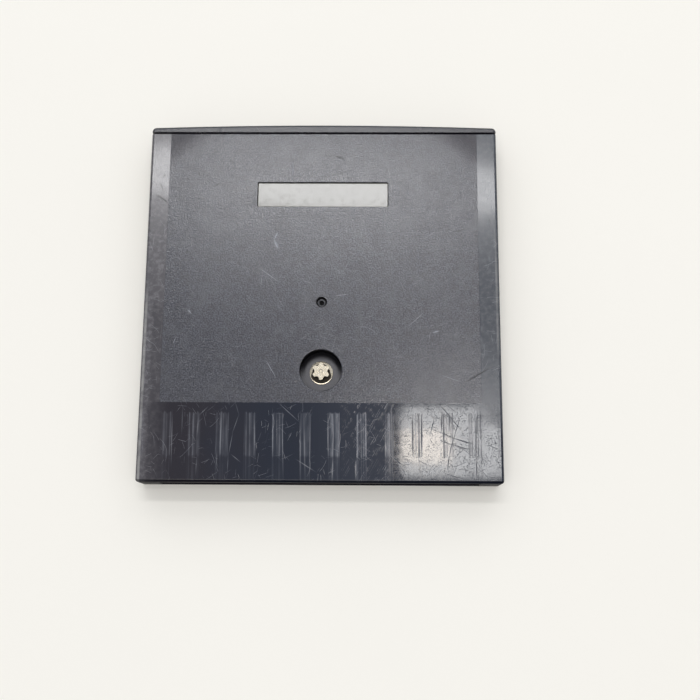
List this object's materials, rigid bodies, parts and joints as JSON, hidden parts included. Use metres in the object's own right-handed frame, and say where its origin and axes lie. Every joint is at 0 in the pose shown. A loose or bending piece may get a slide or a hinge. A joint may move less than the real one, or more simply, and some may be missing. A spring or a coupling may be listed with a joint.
{
  "type": "game cartridge",
  "caption": "Flat, nearly square game cartridge: two moulded shells with an arched grip lip, a sunken security screw and a contact board in an open connector mouth.",
  "frame": {"origin": "middle of the front face, on which the cartridge lies", "axes": "+X to the right seen from the rear, +Y from the connector mouth to the grip lip, +Z from the front face up to the rear face"},
  "size_m": [0.0676, 0.07, 0.007],
  "materials": {
    "shell_plastic": "dark bluish grey moulded plastic, grained field with smooth borders, scuffed",
    "screw_metal": "plated steel with a warm tint",
    "board_laminate": "green solder mask over glass laminate",
    "contact_gold": "gold flash over copper",
    "chip_epoxy": "moulded black epoxy",
    "tinned_metal": "tinned, dull",
    "capacitor_ceramic": "brown unglazed ceramic"
  },
  "bodies": {
    "root": {"front_shell": "shell_plastic", "rear_shell": "shell_plastic", "shell_screw": "screw_metal", "circuit_board": "board_laminate", "edge_contacts": "contact_gold", "memory_chip": "chip_epoxy", "chip_leads": "tinned_metal", "capacitor_body": "capacitor_ceramic", "capacitor_terminals": "tinned_metal"}
  },
  "joints": []
}
